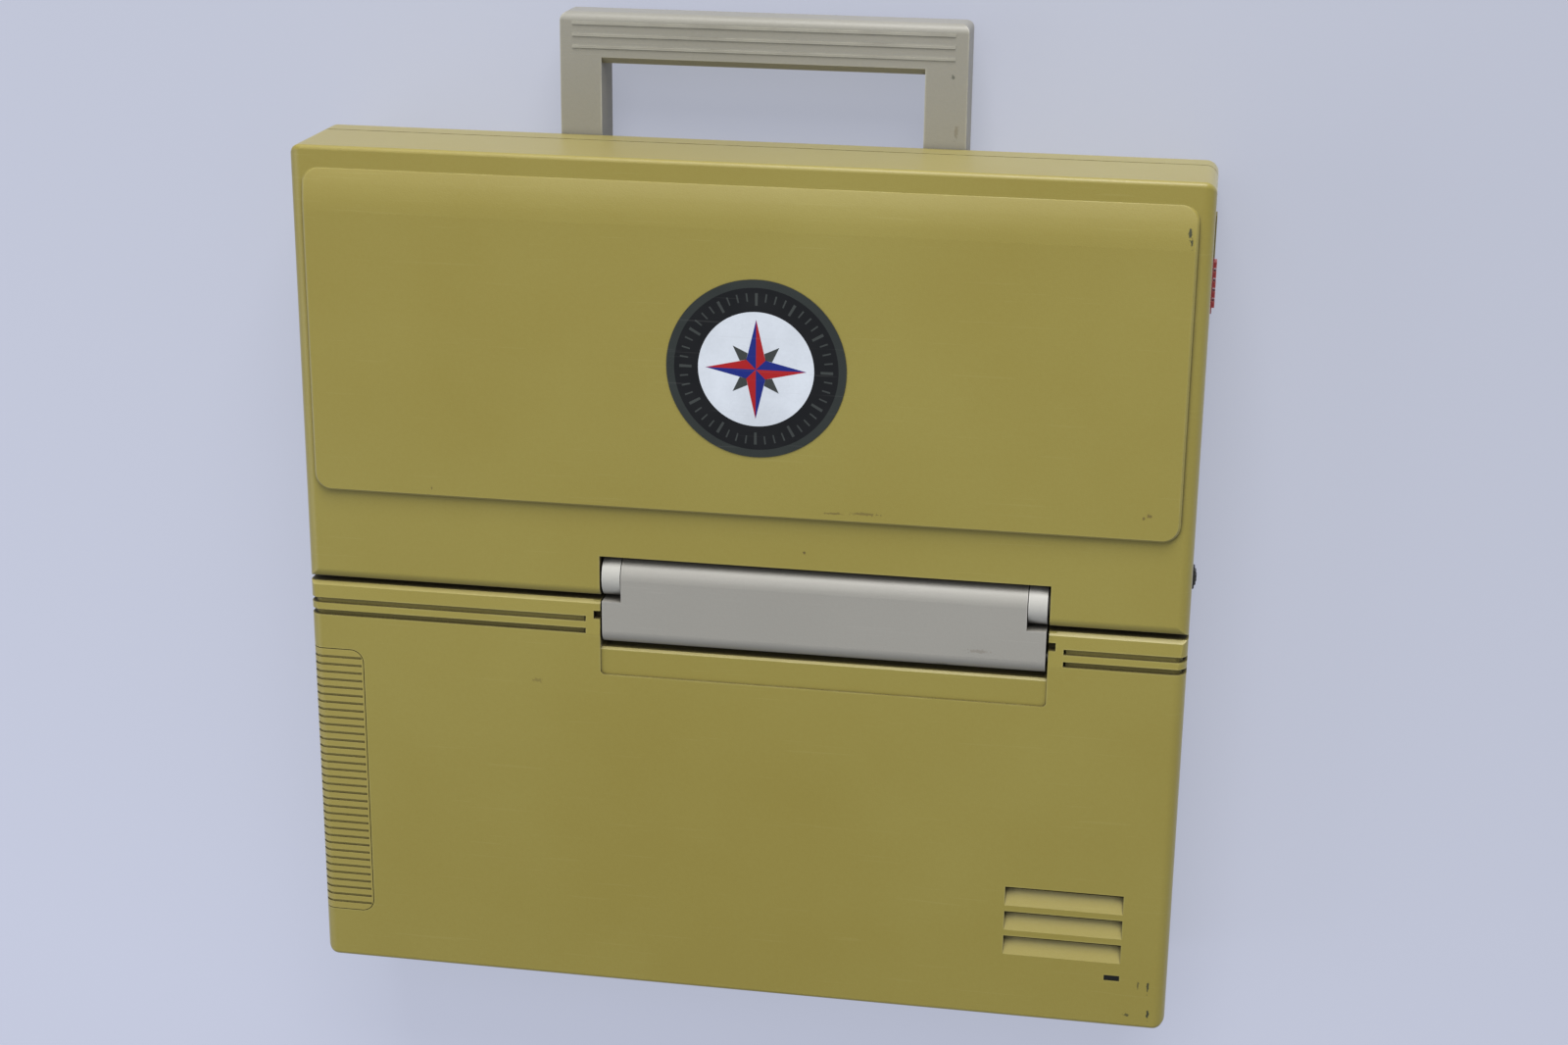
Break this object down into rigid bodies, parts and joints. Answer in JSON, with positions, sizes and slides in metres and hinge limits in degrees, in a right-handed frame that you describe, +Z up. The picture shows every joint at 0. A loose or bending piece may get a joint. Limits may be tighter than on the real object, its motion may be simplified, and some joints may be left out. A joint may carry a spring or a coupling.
{
  "type": "portable computer",
  "caption": "Clamshell portable computer with a hinged screen lid on a tilting link, a slide-out carrying handle, keyboard, side disk drives and a ribbed battery cover.",
  "frame": {"origin": "bottom centre of the whole machine's box with the handle pulled out, on the plane of the feet", "axes": "+X to the user's right, +Y to the rear, +Z up out of the closed lid"},
  "size_m": [0.3147, 0.3486, 0.0673],
  "materials": {
    "case": "yellowed beige moulded plastic, fine grain, satin",
    "handle": "grey ivory moulded plastic, satin",
    "hinge_cover": "light grey moulded plastic, satin",
    "switch_red": "faded red plastic",
    "key": "pale beige key plastic",
    "bezel": "grey beige moulded plastic",
    "dark_plastic": "dark grey plastic",
    "window": "dark clear plastic",
    "eject": "blue plastic",
    "steel": "zinc plated steel",
    "brass": "bare brass",
    "board": "green laminate under lacquer",
    "rubber": "dark grey rubber",
    "glass": "grey green display glass, matt",
    "sticker": "printed vinyl film",
    "battery": "black cell pack casing"
  },
  "bodies": {
    "root": {"top_case": "case", "bottom_case": "case", "handle_rails": "dark_plastic", "hinge_brackets": "steel", "battery_pack": "battery", "battery_tray": "dark_plastic", "battery_contacts": "brass", "drive_front": "steel", "drive_rear": "steel", "drive_bezel_front": "bezel", "drive_bezel_rear": "bezel", "switch_body": "dark_plastic", "contrast_control": "dark_plastic", "keyboard_plate": "dark_plastic", "main_board": "board", "board_chips": "dark_plastic", "power_board": "board", "power_parts": "dark_plastic", "rear_connectors": "dark_plastic", "case_screws": "steel", "bottom_feet": "rubber", "rear_feet": "rubber", "rim_pads": "rubber", "speaker": "dark_plastic", "indicator_window": "window"},
    "hinge_arm": {"hinge_arm": "hinge_cover", "arm_pin": "steel"},
    "lid": {"lid_shell": "case", "lid_knuckles": "hinge_cover", "lid_pin": "steel", "screen_bezel": "bezel", "screen_glass": "glass", "screen_frame": "dark_plastic", "screen_board": "board", "lid_screws": "steel", "round_sticker": "sticker"},
    "handle": {"handle": "handle"},
    "battery_cover": {"battery_cover": "case"},
    "eject_front": {"eject_button_front": "eject"},
    "eject_rear": {"eject_button_rear": "eject"},
    "power_switch": {"power_switch": "switch_red"},
    "contrast_wheel": {"contrast_wheel": "dark_plastic"},
    "latch_left": {"latch_left": "case"},
    "latch_right": {"latch_right": "case"},
    "keys_bottom_left": {"keys_bottom_left": "key"},
    "space_bar": {"space_bar": "key"},
    "keys_bottom_right": {"keys_bottom_right": "key"},
    "keys_row_shift": {"keys_row_shift": "key"},
    "keys_row_home": {"keys_row_home": "key"},
    "keys_row_upper": {"keys_row_upper": "key"},
    "keys_row_number": {"keys_row_number": "key"},
    "keys_row_function": {"keys_row_function": "key"}
  },
  "joints": [
    {"name": "arm_tilt", "type": "hinge", "parent": "root", "child": "hinge_arm", "pos_m": [-0.0298, 0.03525, 0.0605], "axis": [-1, 0, 0], "range_deg": [0, 30]},
    {"name": "lid_hinge", "type": "hinge", "parent": "hinge_arm", "child": "lid", "pos_m": [-0.0298, 0.01615, 0.058], "axis": [-1, 0, 0], "range_deg": [0, 94]},
    {"name": "handle_slide", "type": "slide", "parent": "root", "child": "handle", "axis": [0, 1, 0], "range_m": [0, 0.042]},
    {"name": "cover_slide", "type": "slide", "parent": "root", "child": "battery_cover", "axis": [1, 0, 0], "range_m": [0, 0.012]},
    {"name": "power_slide", "type": "slide", "parent": "root", "child": "power_switch", "axis": [0, 1, 0], "range_m": [0, 0.005]},
    {"name": "contrast_turn", "type": "hinge", "parent": "root", "child": "contrast_wheel", "pos_m": [-0.1479, 0.01375, 0.0281], "axis": [0, 0, 1], "range_deg": [0, 270]},
    {"name": "eject_front_press", "type": "slide", "parent": "root", "child": "eject_front", "axis": [-1, 0, 0], "range_m": [0, 0.004], "stiffness_N_per_m": 300, "springref_m": -0.002},
    {"name": "eject_rear_press", "type": "slide", "parent": "root", "child": "eject_rear", "axis": [-1, 0, 0], "range_m": [0, 0.004], "stiffness_N_per_m": 300, "springref_m": -0.002},
    {"name": "latch_left_slide", "type": "slide", "parent": "lid", "child": "latch_left", "axis": [0, 1, 0], "range_m": [0, 0.005], "stiffness_N_per_m": 200, "springref_m": -0.002},
    {"name": "latch_right_slide", "type": "slide", "parent": "lid", "child": "latch_right", "axis": [0, 1, 0], "range_m": [0, 0.005], "stiffness_N_per_m": 200, "springref_m": -0.002},
    {"name": "keys_bottom_left_press", "type": "slide", "parent": "root", "child": "keys_bottom_left", "axis": [0, 0, -1], "range_m": [0, 0.0032], "stiffness_N_per_m": 300, "springref_m": -0.0015},
    {"name": "space_bar_press", "type": "slide", "parent": "root", "child": "space_bar", "axis": [0, 0, -1], "range_m": [0, 0.0032], "stiffness_N_per_m": 300, "springref_m": -0.0015},
    {"name": "keys_bottom_right_press", "type": "slide", "parent": "root", "child": "keys_bottom_right", "axis": [0, 0, -1], "range_m": [0, 0.0032], "stiffness_N_per_m": 750, "springref_m": -0.0015},
    {"name": "keys_row_shift_press", "type": "slide", "parent": "root", "child": "keys_row_shift", "axis": [0, 0, -1], "range_m": [0, 0.0032], "stiffness_N_per_m": 2100, "springref_m": -0.0015},
    {"name": "keys_row_home_press", "type": "slide", "parent": "root", "child": "keys_row_home", "axis": [0, 0, -1], "range_m": [0, 0.0032], "stiffness_N_per_m": 2100, "springref_m": -0.0015},
    {"name": "keys_row_upper_press", "type": "slide", "parent": "root", "child": "keys_row_upper", "axis": [0, 0, -1], "range_m": [0, 0.0032], "stiffness_N_per_m": 2250, "springref_m": -0.0015},
    {"name": "keys_row_number_press", "type": "slide", "parent": "root", "child": "keys_row_number", "axis": [0, 0, -1], "range_m": [0, 0.0032], "stiffness_N_per_m": 2250, "springref_m": -0.0015},
    {"name": "keys_row_function_press", "type": "slide", "parent": "root", "child": "keys_row_function", "axis": [0, 0, -1], "range_m": [0, 0.0032], "stiffness_N_per_m": 2250, "springref_m": -0.0015}
  ]
}
